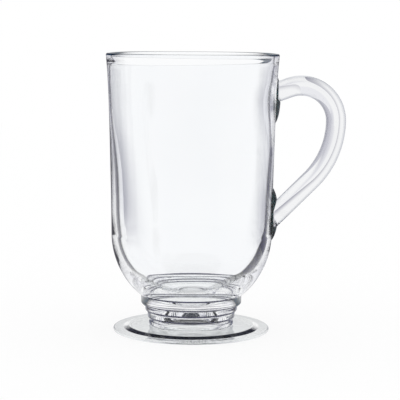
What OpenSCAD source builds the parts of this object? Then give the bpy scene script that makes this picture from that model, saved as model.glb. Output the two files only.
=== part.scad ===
// Footed glass mug for Irish coffee, pressed and hot-joined in six pieces.
// The origin is the middle of the foot's underside, +Z is up and the handle points along +X.

/* [Bowl] */
// Height of the whole mug, from the table to the top of the lip
mug_h = 140; // [128:1:155]
// Outer radius of the bowl where its straight side meets its round bottom
bowl_r = 40.5; // [37:0.5:44]
// How much wider the side has grown by the time it reaches the lip
bowl_taper = 2.1; // [0.5:0.1:4]
// Extra turn outwards in the last stretch below the lip
lip_flare = 0.8; // [0:0.1:1.5]
// Thickness of the glass at the lip
lip_wall = 2.2; // [1.6:0.1:3]
// Thickness of the glass where the side meets the round bottom
shoulder_wall = 3.8; // [3:0.1:5]
// Thickness of the glass under the lowest point of the cavity
floor_wall = 2.2; // [1.6:0.1:5]
// Radius of the ring that the bowl has for its base
boss_r = 25.4; // [24.5:0.1:28]
// Height of the ring that the bowl has for its base
boss_h = 4.7; // [3.6:0.1:6]

/* [Stem] */
// Radius of the upper ring of the stem
upper_ring_r = 23.4; // [22.8:0.1:24.2]
// Height of the upper ring of the stem
upper_ring_h = 3.5; // [3:0.1:5]
// Radius of the lower ring of the stem
lower_ring_r = 22.2; // [21.6:0.1:22.8]
// Height of the lower ring of the stem
lower_ring_h = 3.4; // [3:0.1:5]
// Radius of the narrow waist between the lower ring and the collar
waist_r = 20.2; // [19.6:0.1:21]
// Height of the narrow waist
waist_h = 1.3; // [0.8:0.1:3]
// Radius of the collar that stands on the foot
collar_r = 21.4; // [20.6:0.1:22]
// Height of the collar that stands on the foot
collar_h = 2; // [1.6:0.1:4]

/* [Foot] */
// Radius of the foot
foot_r = 39.5; // [34:0.5:44]
// Thickness of the foot at its edge
foot_edge = 1.6; // [1.2:0.1:2.2]
// Height of the seat in the middle of the foot
seat_h = 3; // [2.6:0.1:5]
// Width of the thin rim outside the step in the foot's upper face
rim_w = 5; // [3:0.5:9]
// Width of the sloping step between that rim and the thicker middle
step_w = 3; // [1:0.5:6]
// Radius of the domed hollow pressed up into the stem
hollow_r = 14; // [13:0.5:19]
// Thickness of the stem's glass above the top of that hollow
hollow_roof = 0.6; // [0.4:0.1:4]
// Width of the flat ring that the foot rests on
rest_w = 8; // [4:0.5:12]
// How far the underside is lifted clear of the table inside that ring
relief = 0.5; // [0.2:0.1:0.8]

/* [Handle] */
// Thickness of the handle in the plane of its loop
handle_thick = 10; // [8:0.5:12]
// Width of the handle across its loop
handle_w = 12; // [8:0.5:15]
// From the lip down to the top of the handle
handle_drop = 10.8; // [8:0.2:16]
// Widest clear space between the bowl and the handle
finger_gap = 25.3; // [24:0.1:30]
// Radius of the tight bend at the top, on the handle's centre line
loop_r = 17.6; // [15:0.2:19]
// Radius of the long bend at the back, on the handle's centre line
sweep_r = 42.5; // [36:0.5:46]
// Slope of the short run into the upper pad, in degrees
upper_slope = 20; // [10:1:30]
// Slope of the long run into the lower pad, in degrees
lower_slope = 45; // [40:1:48]
// How much of the handle's lowest corner is trimmed off level
lower_trim = 2.2; // [0.5:0.1:4]

/* [Pads] */
// How far the upper pad stands out from the bowl
upper_pad_out = 2; // [1.4:0.1:3]
// Height of the upper pad
upper_pad_h = 23.5; // [20:0.5:26]
// How far the middle of the upper pad lies below the handle's end
upper_pad_sag = 3.4; // [1:0.1:5]
// Glass between the bowl and the seat in the upper pad
upper_web = 0.5; // [0.4:0.1:1.2]
// How far the lower pad stands out from the bowl
lower_pad_out = 3; // [2.4:0.1:4]
// Height of the lower pad
lower_pad_h = 26.8; // [25:0.2:32]
// How far the middle of the lower pad lies above the handle's end
lower_pad_rise = 1.5; // [0:0.1:3]
// Glass between the bowl and the seat in the lower pad
lower_web = 0.5; // [0.4:0.1:1.8]
// How far each pad reaches past the side of the handle
pad_margin = 0.2; // [0.1:0.1:2]

/* [Hidden] */
$fn = 128;
overrun = 1;

// Shape of the side: a gentle taper all the way up, and a late flare below the lip
taper_power = 1.3;
flare_power = 8;
wall_power = 2.5;
side_steps = 14;
floor_steps = 20;
section_steps = 32;

// Roundings of the rings: nearly square above, well rounded below
ring_top_round = 0.6;
ring_low_round = 1.3;
seat_round = 0.4;
pad_sink = 2;

// Heights of the joints, counted up from the table
stem_top_z = seat_h + collar_h + waist_h + lower_ring_h + upper_ring_h;
cavity_z = stem_top_z + floor_wall;
shoulder_z = stem_top_z + boss_h + sqrt(bowl_r * bowl_r - boss_r * boss_r);
lip_z = mug_h - lip_wall / 2;

// Sphere that leaves the domed hollow under the foot and stem
hollow_h = stem_top_z - hollow_roof;
hollow_sphere_r = (hollow_r * hollow_r + hollow_h * hollow_h) / (2 * hollow_h);

// The handle's centre line: short run, tight bend, long bend, long run
loop_z = mug_h - handle_drop - handle_thick / 2 - loop_r;
loop_x = outer_r(loop_z) + finger_gap + handle_thick / 2 - loop_r;
sweep_x = loop_x + loop_r - sweep_r;
upper_bend_x = loop_x - loop_r * sin(upper_slope);
upper_bend_z = loop_z + loop_r * cos(upper_slope);
lower_bend_x = sweep_x + sweep_r * cos(lower_slope);
lower_bend_z = loop_z - sweep_r * sin(lower_slope);

// Seats: the upright planes in which the handle's ends meet the pads
upper_seat_x = outer_r(upper_bend_z) + upper_web;
upper_end_z = upper_bend_z - (upper_bend_x - upper_seat_x) * tan(upper_slope);
lower_guess_z = lower_bend_z - (lower_bend_x - bowl_r) * tan(lower_slope);
lower_seat_x = outer_r(lower_guess_z) + lower_web;
lower_end_z = lower_bend_z - (lower_bend_x - lower_seat_x) * tan(lower_slope);
trim_z = lower_end_z - handle_thick / 2 / cos(lower_slope) + lower_trim;
upper_pad_z = upper_end_z - upper_pad_sag;
lower_pad_z = lower_end_z + lower_pad_rise;

// How far up the side a height is, from 0 at the shoulder to 1 at the lip
function side_share(z) = (z - shoulder_z) / (lip_z - shoulder_z);

function side_z(share) = shoulder_z + share * (lip_z - shoulder_z);

// Outer radius of the bowl at a height: a ball below the shoulder, the tapering side above
function outer_r(z) = z < shoulder_z
    ? sqrt(bowl_r * bowl_r - pow(shoulder_z - z, 2))
    : bowl_r + bowl_taper * pow(side_share(z), taper_power) + lip_flare * pow(side_share(z), flare_power);

// Thickness of the side at a height, growing down towards the shoulder
function wall_at(z) = lip_wall + (shoulder_wall - lip_wall) * pow(1 - side_share(z), wall_power);

// Outline of the cavity: an ellipse below the shoulder, the side's inner face above
module cavity_outline() {
    floor_points = [
        for (i = [0 : floor_steps])
            let (a = 90 * i / floor_steps)
            [(bowl_r - shoulder_wall) * sin(a), shoulder_z - (shoulder_z - cavity_z) * cos(a)]
    ];
    side_points = [
        for (i = [1 : side_steps])
            let (z = side_z(i / side_steps))
            [outer_r(z) - wall_at(z), z]
    ];
    mouth_points = [
        [outer_r(lip_z) - lip_wall, mug_h + overrun],
        [0, mug_h + overrun]
    ];
    polygon(concat(floor_points, side_points, mouth_points));
}

// Outline of a ring that stands out from the stem, from the axis to its rounded edge
module ring_outline(r, low_z, h, low_round) {
    translate([0, low_z])
        square([r - low_round, h]);
    translate([0, low_z + low_round])
        square([r, h - low_round - ring_top_round]);
    translate([0, low_z + low_round])
        square([r - ring_top_round, h - low_round]);
    translate([r - low_round, low_z + low_round])
        circle(low_round);
    translate([r - ring_top_round, low_z + h - ring_top_round])
        circle(ring_top_round);
}

// Outline of the bowl's outside, from its base ring to the lip
module bowl_outer_outline() {
    intersection() {
        translate([0, shoulder_z])
            circle(bowl_r);
        translate([0, stem_top_z + boss_h])
            square([bowl_r, shoulder_z - stem_top_z - boss_h]);
    }
    polygon(concat(
        [[0, shoulder_z]],
        [for (i = [0 : side_steps]) [outer_r(side_z(i / side_steps)), side_z(i / side_steps)]],
        [[0, lip_z]]
    ));
    translate([0, stem_top_z])
        square([boss_r - ring_low_round, boss_h]);
    translate([0, stem_top_z + ring_low_round])
        square([boss_r, boss_h - ring_low_round]);
    translate([boss_r - ring_low_round, stem_top_z + ring_low_round])
        circle(ring_low_round);
}

module bowl_blank() {
    rotate_extrude()
        bowl_outer_outline();
}

module bowl() {
    color([0.86, 0.92, 0.94, 0.45])
        rotate_extrude() {
            difference() {
                bowl_outer_outline();
                cavity_outline();
            }
            translate([outer_r(lip_z) - lip_wall / 2, lip_z])
                circle(lip_wall / 2);
        }
}

// Domed hollow under the foot, which reaches up into the stem
module underside_hollow() {
    translate([0, 0, hollow_h - hollow_sphere_r])
        sphere(hollow_sphere_r);
}

module stem() {
    waist_z = seat_h + collar_h;
    lower_ring_z = waist_z + waist_h;
    upper_ring_z = lower_ring_z + lower_ring_h;
    color([0.78, 0.86, 0.89, 0.55])
        difference() {
            rotate_extrude() {
                translate([0, seat_h])
                    square([waist_r, stem_top_z - seat_h]);
                ring_outline(collar_r, seat_h, collar_h, ring_top_round);
                ring_outline(lower_ring_r, lower_ring_z, lower_ring_h, ring_low_round);
                ring_outline(upper_ring_r, upper_ring_z, upper_ring_h, ring_low_round);
            }
            underside_hollow();
        }
}

// The foot: a disc that steps down to a thin rim, with a low seat for the stem and a lifted underside
module foot() {
    edge_round = foot_edge / 2;
    rest_inner_r = foot_r - edge_round - rest_w;
    seat_r = collar_r - ring_top_round;
    shelf_r = seat_r + seat_round;
    shelf_z = seat_h - seat_round;
    step_r = foot_r - rim_w;
    color([0.8, 0.88, 0.88, 0.5])
        difference() {
            rotate_extrude() {
                difference() {
                    polygon([
                        [0, 0], [foot_r - edge_round, 0], [foot_r - edge_round, foot_edge],
                        [step_r, foot_edge], [step_r - step_w, shelf_z],
                        [shelf_r, shelf_z], [shelf_r, seat_h], [0, seat_h]
                    ]);
                    translate([shelf_r, seat_h])
                        circle(seat_round);
                    polygon([
                        [0, -overrun], [rest_inner_r, -overrun], [rest_inner_r, 0],
                        [rest_inner_r - relief, relief], [0, relief]
                    ]);
                }
                translate([foot_r - edge_round, edge_round])
                    circle(edge_round);
            }
            underside_hollow();
        }
}

// Section of the handle: an oval, thick along X and wide along Y
module handle_section() {
    polygon([
        for (i = [0 : section_steps - 1])
            let (a = 360 * i / section_steps)
            [handle_thick / 2 * cos(a), handle_w / 2 * sin(a)]
    ]);
}

// One stretch of the handle that bends about a centre, from one angle to another
module handle_bend(centre_x, bend_r, from_angle, turn) {
    translate([centre_x, 0, loop_z])
        rotate([90, 0, 0])
            rotate([0, 0, from_angle])
                rotate_extrude(angle = turn)
                    translate([bend_r, 0])
                        handle_section();
}

// One straight stretch that carries on from a bend, forwards (1) or backwards (-1)
module handle_run(centre_x, bend_r, at_angle, way, run_length) {
    translate([centre_x, 0, loop_z])
        rotate([90, 0, 0])
            rotate([0, 0, at_angle])
                translate([bend_r, 0, 0])
                    rotate([-90 * way, 0, 0])
                        linear_extrude(run_length)
                            handle_section();
}

module handle_blank() {
    upper_run = (upper_bend_x - upper_seat_x) / cos(upper_slope) + handle_thick;
    lower_run = (lower_bend_x - lower_seat_x) / cos(lower_slope) + handle_thick;
    seat_split_z = loop_z - loop_r;
    difference() {
        union() {
            handle_run(loop_x, loop_r, 90 + upper_slope, 1, upper_run);
            handle_bend(loop_x, loop_r, 0, 90 + upper_slope);
            handle_bend(sweep_x, sweep_r, -lower_slope, lower_slope);
            handle_run(sweep_x, sweep_r, -lower_slope, -1, lower_run);
        }
        translate([0, -handle_w, seat_split_z])
            cube([upper_seat_x, 2 * handle_w, mug_h]);
        translate([0, -handle_w, 0])
            cube([lower_seat_x, 2 * handle_w, seat_split_z]);
        translate([0, -handle_w, 0])
            cube([lower_seat_x + handle_thick, 2 * handle_w, trim_z]);
    }
}

module handle() {
    color([0.93, 0.94, 0.97, 0.6])
        handle_blank();
}

// A pad: a lump of glass melted on to the bowl, with a socket for the handle's flat end
module handle_pad(mid_z, out, pad_h) {
    wall_x = outer_r(mid_z);
    middle_x = wall_x - pad_sink;
    half_h = pad_h / 2 / sqrt(1 - pow(pad_sink / (pad_sink + out), 2));
    difference() {
        translate([middle_x, 0, mid_z])
            scale([pad_sink + out, handle_w / 2 + pad_margin, half_h])
                sphere(1);
        bowl_blank();
        handle_blank();
    }
}

module upper_handle_pad() {
    color([0.3, 0.36, 0.4, 0.8])
        handle_pad(upper_pad_z, upper_pad_out, upper_pad_h);
}

module lower_handle_pad() {
    color([0.3, 0.36, 0.4, 0.8])
        handle_pad(lower_pad_z, lower_pad_out, lower_pad_h);
}

bowl();
stem();
foot();
handle();
upper_handle_pad();
lower_handle_pad();
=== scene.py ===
import logging
import math
from dataclasses import dataclass, field
from enum import Enum
from typing import Self

import bpy
import numpy as np
from mathutils import Matrix, Vector


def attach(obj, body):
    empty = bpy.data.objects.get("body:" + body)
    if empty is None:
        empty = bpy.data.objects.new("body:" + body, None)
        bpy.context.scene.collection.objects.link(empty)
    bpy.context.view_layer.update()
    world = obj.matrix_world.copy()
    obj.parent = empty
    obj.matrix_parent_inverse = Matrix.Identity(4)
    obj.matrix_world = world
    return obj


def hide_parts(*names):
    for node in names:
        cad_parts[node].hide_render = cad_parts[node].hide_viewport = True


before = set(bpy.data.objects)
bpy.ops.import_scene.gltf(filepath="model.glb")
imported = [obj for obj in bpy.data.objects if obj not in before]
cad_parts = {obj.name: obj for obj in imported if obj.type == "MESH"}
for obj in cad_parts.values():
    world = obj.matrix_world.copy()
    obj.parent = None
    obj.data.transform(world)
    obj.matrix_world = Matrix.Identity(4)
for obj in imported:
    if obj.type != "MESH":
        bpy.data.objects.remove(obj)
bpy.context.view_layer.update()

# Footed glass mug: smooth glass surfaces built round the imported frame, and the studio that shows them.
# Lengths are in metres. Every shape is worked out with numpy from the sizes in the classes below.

BODY = "root"
SEAM_NAME = "fused_seam"
MM = 0.001
SEAM_GAP = 0.02 * MM
QUARTER_TURN = 90.0
HALF_TURN = 180.0
FULL_CIRCLE = 2.0 * math.pi
WHITE = (1.0, 1.0, 1.0)
log = logging.getLogger("glass_mug")

Colour = tuple[float, float, float]
Place = tuple[float, float, float]
Span = tuple[float, float]
Tree = bpy.types.NodeTree
Node = bpy.types.Node
Socket = bpy.types.NodeSocket

# The numbers of a Mix node's two colour inputs and of its colour output, whose names are not unique.
MIX_FIRST, MIX_SECOND, MIX_RESULT = 6, 7, 2


class Slot(Enum):
    """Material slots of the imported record."""

    BOWL = "bowl_glass"
    BASE = "base_glass"
    HANDLE = "handle_glass"


class Face(Enum):
    """What a face is, in the order of a piece's materials: the piece's own glass, a seam that is fused to
    the next piece, a step with painted shade, the cavity with a painted shade line, a tight crease with
    painted shade or the lip with a painted dark line.
    """

    OPEN = 0
    FUSED = 1
    SHADED_STEP = 2
    INNER = 3
    CREASE = 4
    LIP = 5


class ShadeSide(Enum):
    """From which side of a surface its painted edge shade shows: both, only from the air, or only from the
    glass.
    """

    BOTH = "both"
    AIR = "air"
    GLASS = "glass"


def new_object(name: str, data: bpy.types.ID) -> bpy.types.Object:
    """Makes an object that shows a mesh or a camera, and links it to the scene.

    Args:
        name: the object's name.
        data: the mesh or camera.
    Returns:
        The object, at the origin.
    """
    made = bpy.data.objects.new(name, data)
    bpy.context.scene.collection.objects.link(made)
    return made


def new_material(name: str) -> tuple[bpy.types.Material, Tree]:
    """Makes a material with no nodes.

    Args:
        name: the material's name.
    Returns:
        The material and its node tree.
    """
    material = bpy.data.materials.new(name)
    material.use_nodes = True
    material.node_tree.nodes.clear()
    return material, material.node_tree


def new_group(name: str, inputs: dict[str, str], outputs: dict[str, str]) -> tuple[Tree, Node, Node]:
    """Makes a node group with named inputs and outputs.

    Args:
        name: the group's name.
        inputs: the kind of each input: Vector, Float or Color.
        outputs: the kind of each output.
    Returns:
        The group, the node with its inputs and the node with its outputs.
    """
    group = bpy.data.node_groups.new(name, "ShaderNodeTree")
    for way, sockets in (("INPUT", inputs), ("OUTPUT", outputs)):
        for socket, kind in sockets.items():
            group.interface.new_socket(socket, in_out=way, socket_type=f"NodeSocket{kind}")
    return group, group.nodes.new("NodeGroupInput"), group.nodes.new("NodeGroupOutput")


def feed(tree: Tree, target: Socket, value: object) -> None:
    """Links an input to an output socket, or sets it to a number, a vector or an opaque colour.

    Args:
        tree: the node tree.
        target: the input.
        value: the output socket or the constant.
    """
    if isinstance(value, Socket):
        tree.links.new(value, target)
    elif target.type == "RGBA":
        target.default_value = (*value, 1.0)
    else:
        target.default_value = value


def add_node(tree: Tree, kind: str, values: dict[str | int, object], **settings: object) -> Node:
    """Adds a shader node.

    Args:
        tree: the node tree.
        kind: the node's type, without the word ShaderNode before it.
        values: a constant or an output socket for each input that does not keep its default.
        settings: the node's own settings, such as its operation.
    Returns:
        The node.
    """
    node = tree.nodes.new(f"ShaderNode{kind}")
    for setting, choice in settings.items():
        setattr(node, setting, choice)
    for key, value in values.items():
        feed(tree, node.inputs[key], value)
    return node


def add_math(tree: Tree, operation: str, *values: float | Socket) -> Socket:
    """Adds a Math node.

    Args:
        tree: the node tree.
        operation: the node's operation.
        values: a number or an output socket for each input.
    Returns:
        The node's output.
    """
    return add_node(tree, "Math", dict(enumerate(values)), operation=operation).outputs["Value"]


def add_product(tree: Tree, first: Socket, *others: float | Socket) -> Socket:
    """Adds Math nodes that multiply a socket by one or more others.

    Args:
        tree: the node tree.
        first: the first factor.
        others: the other factors.
    Returns:
        The product.
    """
    product = first
    for other in others:
        product = add_math(tree, "MULTIPLY", product, other)
    return product


def add_rest(tree: Tree, share: Socket) -> Socket:
    """Adds a Math node for what a share leaves of one."""
    return add_math(tree, "SUBTRACT", 1.0, share)


def add_length(tree: Tree, vector: Socket) -> Socket:
    """Adds a node for the length of a vector."""
    return add_node(tree, "VectorMath", {0: vector}, operation="LENGTH").outputs["Value"]


def add_step(tree: Tree, value: Socket, low: float | Socket, high: float | Socket) -> Socket:
    """Adds a smooth step from 0 at low to 1 at high, falling instead of rising where high is below low.

    Args:
        tree: the node tree.
        value: the socket that is stepped.
        low: where the step starts.
        high: where the step ends.
    Returns:
        The step's output.
    """
    values = {"Value": value, "From Min": low, "From Max": high}
    return add_node(tree, "MapRange", values, interpolation_type="SMOOTHSTEP").outputs["Result"]


def add_mix(tree: Tree, share: Socket, first: Colour | Socket, second: Colour | Socket) -> Socket:
    """Adds a mix of two colours.

    Args:
        tree: the node tree.
        share: the second colour's share.
        first: the first colour or its socket.
        second: the second colour or its socket.
    Returns:
        The mixed colour.
    """
    values = {"Factor": share, MIX_FIRST: first, MIX_SECOND: second}
    return add_node(tree, "Mix", values, data_type="RGBA").outputs[MIX_RESULT]


@dataclass
class Surface:
    """Points, faces and face kinds of one closed surface."""

    points: np.ndarray
    quads: np.ndarray
    triangles: np.ndarray
    quad_kinds: np.ndarray
    triangle_kinds: np.ndarray

    @property
    def volume(self) -> float:
        """Signed volume: the sum of a . (b x c) / 6 over all triangles.

        Returns:
            The volume, positive if the faces turn outwards.
        """
        halves = [self.quads[:, [0, 1, 2]], self.quads[:, [0, 2, 3]], self.triangles]
        a, b, c = self.points[np.concatenate(halves)].transpose(1, 0, 2)
        return float(np.einsum("ij,ij->", a, np.cross(b, c)) / 6.0)

    def to_object(self, name: str) -> bpy.types.Object:
        """Makes a Blender object at the origin from the surface, with its faces turned outwards.

        Args:
            name: the object's name.
        Returns:
            The linked object, shaded smooth.
        """
        mesh = bpy.data.meshes.new(name)
        volume = self.volume
        turn = 1 if volume > 0.0 else -1
        log.info("%s: %.0f cubic mm", name, abs(volume) / MM ** 3)
        sides = [self.quads[:, ::turn].ravel(), self.triangles[:, ::turn].ravel()]
        corners = np.concatenate(sides).astype(np.int32)
        sizes = [np.full(len(faces), faces.shape[1]) for faces in (self.quads, self.triangles)]
        totals = np.concatenate(sizes).astype(np.int32)
        starts = np.concatenate([[0], np.cumsum(totals)[:-1]]).astype(np.int32)
        kinds = np.concatenate([self.quad_kinds, self.triangle_kinds]).astype(np.int32)
        mesh.vertices.add(len(self.points))
        mesh.vertices.foreach_set("co", self.points.astype(np.float32).ravel())
        mesh.loops.add(len(corners))
        mesh.loops.foreach_set("vertex_index", corners)
        mesh.polygons.add(len(totals))
        mesh.polygons.foreach_set("loop_start", starts)
        mesh.polygons.foreach_set("loop_total", totals)
        mesh.polygons.foreach_set("material_index", kinds)
        mesh.polygons.foreach_set("use_smooth", np.ones(len(totals), dtype=bool))
        mesh.update(calc_edges=True)
        mesh.validate()
        return new_object(name, mesh)


def arc(centre: Span, radius: float, start: float, end: float, count: int) -> np.ndarray:
    """Points on a circle's arc: centre + radius * (cos a, sin a) for a from start to end.

    Args:
        centre: the arc's centre, as radius and height.
        radius: the arc's radius.
        start: the first angle in degrees.
        end: the last angle in degrees.
        count: how many points to make.
    Returns:
        An array of points, one row each.
    """
    angle = np.radians(np.linspace(start, end, count))
    return np.stack([centre[0] + radius * np.cos(angle), centre[1] + radius * np.sin(angle)], axis=1)


def smooth_curve(places: np.ndarray, knots: np.ndarray, values: np.ndarray) -> np.ndarray:
    """A smooth curve through given values, with slopes from their neighbours.

    From value a to the next value b it is (1 + 2t)(1 - t)^2 a + t^2 (3 - 2t) b, and t (1 - t)^2 w times the
    slope at a, less t^2 (1 - t) w times the slope at b, with t as the share of the way w between them.

    Args:
        places: where the curve is wanted.
        knots: where the values are given, growing.
        values: the value at each knot.
    Returns:
        The curve's values.
    """
    slopes = np.gradient(values, knots)
    index = np.clip(np.searchsorted(knots, places) - 1, 0, len(knots) - 2)
    width = knots[index + 1] - knots[index]
    share = np.clip((places - knots[index]) / width, 0.0, 1.0)
    rest = 1 - share
    level = (1 + 2 * share) * rest ** 2 * values[index] + share ** 2 * (3 - 2 * share) * values[index + 1]
    return level + share * rest ** 2 * width * slopes[index] - share ** 2 * rest * width * slopes[index + 1]


def circle_angles(columns: int) -> np.ndarray:
    """Angles in radians of points spread evenly round a circle."""
    return np.linspace(0.0, FULL_CIRCLE, columns, endpoint=False)


def grid_quads(rows: int, columns: int) -> np.ndarray:
    """Quads of a grid whose columns close on themselves, row after row.

    Args:
        rows: how many rings of points there are.
        columns: how many points each ring has.
    Returns:
        One row of four point numbers for each quad.
    """
    row, column = np.meshgrid(np.arange(rows - 1), np.arange(columns), indexing="ij")
    following = (column + 1) % columns
    low, high = row * columns, (row + 1) * columns
    return np.stack([low + column, low + following, high + following, high + column], axis=-1).reshape(-1, 4)


def pole_triangles(pole: int, ring_start: int, columns: int, upward: bool) -> np.ndarray:
    """Triangles that close one end of a grid on a single point.

    Args:
        pole: the number of the point at the pole.
        ring_start: the number of the ring's first point.
        columns: how many points the ring has.
        upward: whether the ring's order runs with the faces' outward turn.
    Returns:
        One row of three point numbers for each triangle.
    """
    column = np.arange(columns)
    first, second = ring_start + column, ring_start + (column + 1) % columns
    middle = np.full(columns, pole)
    return np.stack([first, second, middle] if upward else [second, first, middle], axis=1)


def closed_skin(rings: np.ndarray, poles: np.ndarray, kinds: np.ndarray | None = None) -> Surface:
    """A skin over rings of points that closes on a pole at either end.

    Args:
        rings: rings by points by X, Y and Z.
        poles: the point that closes the first ring and the one that closes the last.
        kinds: the Face value of each stretch from pole to pole, or None where all faces are open.
    Returns:
        The closed surface.
    """
    count, columns = rings.shape[:2]
    if kinds is None:
        kinds = np.full(count + 1, Face.OPEN.value)
    total = count * columns
    triangles = np.concatenate([
        pole_triangles(total, 0, columns, False),
        pole_triangles(total + 1, total - columns, columns, True),
    ])
    points = np.concatenate([rings.reshape(-1, 3), poles])
    quad_kinds, triangle_kinds = np.repeat(kinds[1:-1], columns), np.repeat(kinds[[0, -1]], columns)
    return Surface(points, grid_quads(count, columns), triangles, quad_kinds, triangle_kinds)


def turned_rings(profile: np.ndarray, columns: int, wave: np.ndarray | float = 0.0) -> np.ndarray:
    """Turns a profile round the Z axis: P(u, v) = ((r(v) + w(u, v)) cos u, (r(v) + w(u, v)) sin u, z(v)).

    Args:
        profile: radius and height of each point along v.
        columns: how many points each ring has.
        wave: the extra radius w of each ring and column.
    Returns:
        Rings by points by X, Y and Z.
    """
    angle = circle_angles(columns)
    radius = np.broadcast_to(profile[:, :1] + wave, (len(profile), columns))
    height = np.broadcast_to(profile[:, 1:], radius.shape)
    return np.stack([radius * np.cos(angle), radius * np.sin(angle), height], axis=-1)


@dataclass
class ProfileLine:
    """A profile of radius and height, put together stretch by stretch, each with its own Face kind."""

    points: list[np.ndarray] = field(default_factory=list)
    kinds: list[np.ndarray] = field(default_factory=list)

    @property
    def count(self) -> int:
        """How many points the line has."""
        return sum(map(len, self.points))

    def add(self, points: np.ndarray | Span, kind: Face = Face.OPEN) -> Self:
        """Adds points, and gives the stretch that leads to each of them its kind.

        Args:
            points: radius and height of one point, or one row of them for each point.
            kind: what the faces along these stretches are.
        Returns:
            This line, so that calls can follow each other.
        """
        points = np.atleast_2d(np.asarray(points, dtype=float))
        self.points.append(points)
        self.kinds.append(np.full(len(points), kind.value))
        return self

    def turned(self, columns: int, wave: np.ndarray | float = 0.0) -> Surface:
        """Turns a line that runs from the axis to the axis round it.

        Args:
            columns: how many points each ring has.
            wave: the extra radius of each ring and column, the line's two ends left out.
        Returns:
            The closed surface, with a pole at either end.
        """
        profile, kinds = np.concatenate(self.points), np.concatenate(self.kinds)
        poles = np.array([[0.0, 0.0, profile[0, 1]], [0.0, 0.0, profile[-1, 1]]])
        return closed_skin(turned_rings(profile[1:-1], columns, wave), poles, kinds[1:])

    def turned_closed(self, columns: int) -> Surface:
        """Turns a line that stays clear of the axis round it, and joins its last point to its first.

        Args:
            columns: how many points each ring has.
        Returns:
            The closed surface, like a washer.
        """
        points = turned_rings(np.concatenate(self.points), columns).reshape(-1, 3)
        quads = grid_quads(self.count + 1, columns) % len(points)
        kinds = np.roll(np.concatenate(self.kinds), -1)
        return Surface(points, quads, np.zeros((0, 3), dtype=int), np.repeat(kinds, columns), np.zeros(0))


def glass_ripple_group() -> Tree:
    """The shared node group for glass: soft upright ripples, and a cast that drifts between two colours.

    Returns:
        The group, built once.
    """
    name = "Glass ripple"
    if name in bpy.data.node_groups:
        return bpy.data.node_groups[name]
    casts = {"Thin Cast": "Color", "Thick Cast": "Color"}
    inputs = {"Vector": "Vector", "Scale": "Float", "Stretch": "Float", **casts}
    group, given, result = new_group(name, inputs, {"Height": "Float", "Color": "Color"})
    squeeze = add_node(group, "CombineXYZ", {"X": 1.0, "Y": 1.0, "Z": given.outputs["Stretch"]})
    factors = {0: given.outputs["Vector"], 1: squeeze.outputs["Vector"]}
    stretched = add_node(group, "VectorMath", factors, operation="MULTIPLY").outputs["Vector"]
    pattern = {"Vector": stretched, "Scale": given.outputs["Scale"], "Detail": 1.0}
    height = add_node(group, "TexNoise", pattern).outputs["Fac"]
    feed(group, result.inputs["Height"], height)
    feed(group, result.inputs["Color"], add_mix(group, height, *(given.outputs[cast] for cast in casts)))
    return group


@dataclass(frozen=True)
class CavityShadeLine:
    """How the cavity's painted shade line widens and fades over the mug, with spans from no effect to full.
    """

    side_widening: float = 0.014
    side_heights: Span = (110.0 * MM, 77.0 * MM)
    low_widening: float = 0.03
    low_heights: Span = (55.0 * MM, 44.0 * MM)
    right_places: Span = (0.0, 16.5 * MM)
    thinnest: float = 0.6
    thick_heights: Span = (22.0 * MM, 35.75 * MM)
    faded_share: float = 0.2
    strong_heights: Span = (24.75 * MM, 35.75 * MM)
    strong_places: Span = (16.5 * MM, 24.75 * MM)

    def add(self, tree: Tree, place: Socket) -> tuple[Socket, Socket]:
        """Adds the nodes that work the painted shade line out.

        It widens down the side and, more so, at the right of the round bottom, where it gets thinner
        again lower down. It fades at the bottom, except far to the right.

        Args:
            tree: the material's node tree.
            place: the piece's own coordinates.
        Returns:
            The widening, in the units of Layer Weight's Facing, and the share of the line that stays.
        """
        parts = add_node(tree, "SeparateXYZ", {"Vector": place}).outputs
        right = add_step(tree, parts["X"], *self.right_places)
        low = add_step(tree, parts["Z"], *self.low_heights)
        thick = add_step(tree, parts["Z"], *self.thick_heights)
        thickness = add_math(tree, "MULTIPLY_ADD", thick, 1.0 - self.thinnest, self.thinnest)
        widening = add_product(tree, right, low, self.low_widening, thickness)
        side = add_step(tree, parts["Z"], *self.side_heights)
        widening = add_math(tree, "MULTIPLY_ADD", side, self.side_widening, widening)
        bottom = add_rest(tree, add_step(tree, parts["Z"], *self.strong_heights))
        middle = add_rest(tree, add_step(tree, parts["X"], *self.strong_places))
        fading = add_product(tree, bottom, middle, 1.0 - self.faded_share)
        return widening, add_rest(tree, fading)


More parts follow.
